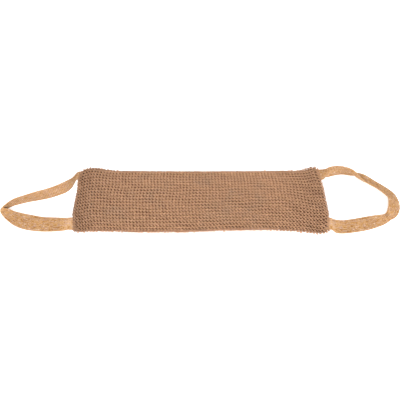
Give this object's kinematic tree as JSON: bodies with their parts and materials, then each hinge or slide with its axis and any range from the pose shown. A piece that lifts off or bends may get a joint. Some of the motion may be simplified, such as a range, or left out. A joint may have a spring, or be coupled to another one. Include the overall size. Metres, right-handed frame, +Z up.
{
  "type": "back scrubber strap",
  "caption": "Long knitted bath scrubbing pad with a fibre core and a flat tape hand loop at each end, lying flat.",
  "frame": {"origin": "under the middle of the pad, on its flat underside", "axes": "+X along the pad towards the right handle, +Y across the pad towards its far side, +Z up out of the scrubbing face"},
  "size_m": [0.6358, 0.1214, 0.0263],
  "materials": {
    "knit": "matte",
    "fibre_core": "matte",
    "tape": "matte",
    "thread": "matte"
  },
  "bodies": {
    "pad_middle": {"front_cover": "knit", "back_cover": "knit", "core_middle": "fibre_core", "far_side_seam": "thread", "near_side_seam": "thread"},
    "pad_left": {"core_left": "fibre_core", "left_end_seam": "thread", "left_far_tape_end": "tape", "left_near_tape_end": "tape", "left_far_tack": "thread", "left_near_tack": "thread"},
    "pad_right": {"core_right": "fibre_core", "right_end_seam": "thread", "right_far_tape_end": "tape", "right_near_tape_end": "tape", "right_far_tack": "thread", "right_near_tack": "thread"},
    "left_loop": {"left_handle": "tape"},
    "right_loop": {"right_handle": "tape"}
  },
  "joints": [
    {"name": "left_bend", "type": "hinge", "parent": "pad_middle", "child": "pad_left", "pos_m": [-0.07, 0, 0.007], "axis": [0, 1, 0], "range_deg": [-60, 60], "deforming": ["front_cover", "back_cover", "far_side_seam", "near_side_seam"]},
    {"name": "right_bend", "type": "hinge", "parent": "pad_middle", "child": "pad_right", "pos_m": [0.07, 0, 0.007], "axis": [0, -1, 0], "range_deg": [-60, 60], "deforming": ["front_cover", "back_cover", "far_side_seam", "near_side_seam"]},
    {"name": "left_swing", "type": "hinge", "parent": "pad_left", "child": "left_loop", "pos_m": [-0.202, 0, 0.0045], "axis": [0, 1, 0], "range_deg": [-90, 85]},
    {"name": "right_swing", "type": "hinge", "parent": "pad_right", "child": "right_loop", "pos_m": [0.202, 0, 0.0045], "axis": [0, -1, 0], "range_deg": [-90, 85]}
  ]
}
